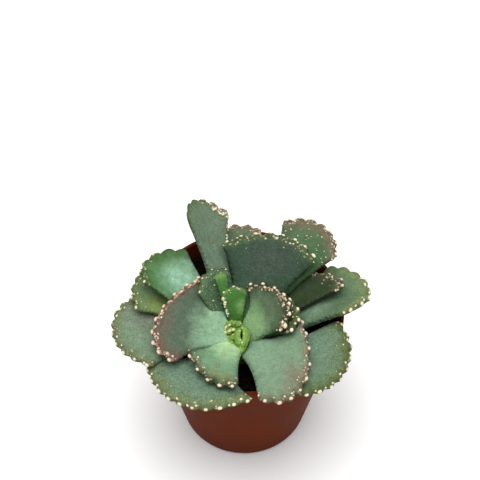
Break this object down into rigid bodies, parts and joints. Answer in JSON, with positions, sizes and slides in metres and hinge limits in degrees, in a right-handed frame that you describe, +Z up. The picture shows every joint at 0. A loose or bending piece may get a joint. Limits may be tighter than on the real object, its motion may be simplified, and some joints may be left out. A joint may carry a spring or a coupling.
{
  "type": "potted succulent",
  "caption": "Potted Aloinopsis malherbei: a low rosette of fan-shaped succulent leaves with toothed margins tipped by white beads, in a round tapered nursery pot.",
  "frame": {"origin": "centre of the pot's flat underside", "axes": "+Z up along the pot's axis, -Y towards the viewer of the picture, +X to the viewer's right"},
  "size_m": [0.0716, 0.0624, 0.0703],
  "materials": {
    "pot": "smooth terracotta brown, slightly glossy",
    "soil": "crumbly dark peat",
    "stem": "matte",
    "leaf": "waxy grey-green with white beads",
    "young_growth": "waxy lime green"
  },
  "bodies": {
    "root": {"pot": "pot", "soil": "soil", "stem": "stem", "leaf_front_left_outer": "leaf", "leaf_front_right_outer": "leaf", "leaf_left_outer": "leaf", "leaf_left_back_lower": "leaf", "leaf_left_back_cupped": "leaf", "leaf_back_left": "leaf", "leaf_back_hidden": "leaf", "leaf_back_right": "leaf", "leaf_right_outer": "leaf", "leaf_right_shaded": "leaf", "leaf_back_middle": "leaf", "leaf_right_under": "leaf", "leaf_left_inner": "leaf", "leaf_front_right_inner": "leaf", "leaf_front_inner": "leaf", "leaf_small_dotted": "leaf", "leaf_small_tip": "leaf", "leaf_right_inner": "leaf", "leaf_small_middle": "leaf", "young_growth": "young_growth"}
  },
  "joints": []
}
